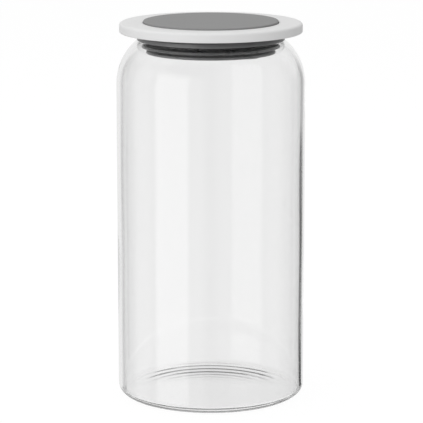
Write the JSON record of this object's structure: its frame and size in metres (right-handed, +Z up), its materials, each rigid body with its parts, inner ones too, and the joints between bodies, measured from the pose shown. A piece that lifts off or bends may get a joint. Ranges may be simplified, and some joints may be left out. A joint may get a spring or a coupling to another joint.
{
  "type": "vacuum seal canister",
  "caption": "Clear straight-sided glass canister with drawn-in shoulder and a press-to-pump vacuum lid: pale ring, wide grey pad and finned grey gasket.",
  "frame": {"origin": "centre of the foot ring that the jar stands on, at the surface it stands on", "axes": "+Z up along the jar's axis; the inlet valve lies towards +X and the outlet valve towards -X; -Y is the front that the picture shows"},
  "size_m": [0.105, 0.105, 0.2114],
  "materials": {
    "clear_glass": "clear blown glass, fire polished",
    "pale_plastic": "moulded, fine satin",
    "grey_silicone": "soft matt silicone",
    "dark_silicone": "soft satin silicone",
    "base_plastic": "moulded, satin",
    "pump_plastic": "moulded, plain",
    "valve_silicone": "translucent silicone",
    "spring_steel": "drawn stainless wire",
    "screw_steel": "plain stainless",
    "filter_plastic": "moulded, satin"
  },
  "bodies": {
    "jar": {"glass_jar": "clear_glass"},
    "lid": {"lid_base": "base_plastic", "lid_ring": "pale_plastic", "lid_gasket": "dark_silicone", "lid_screws": "screw_steel", "inlet_valve": "valve_silicone", "inlet_filter": "filter_plastic", "return_spring": "spring_steel"},
    "plunger": {"pump_piston": "pump_plastic", "piston_seal": "valve_silicone", "outlet_valve": "valve_silicone", "press_pad": "grey_silicone"}
  },
  "joints": [
    {"name": "lid_lift", "type": "slide", "parent": "jar", "child": "lid", "axis": [0, 0, 1], "range_m": [0, 0.11]},
    {"name": "pad_press", "type": "slide", "parent": "lid", "child": "plunger", "axis": [0, 0, -1], "range_m": [0, 0.0041], "stiffness_N_per_m": 740, "springref_m": -0.004, "deforming": ["return_spring"]}
  ]
}
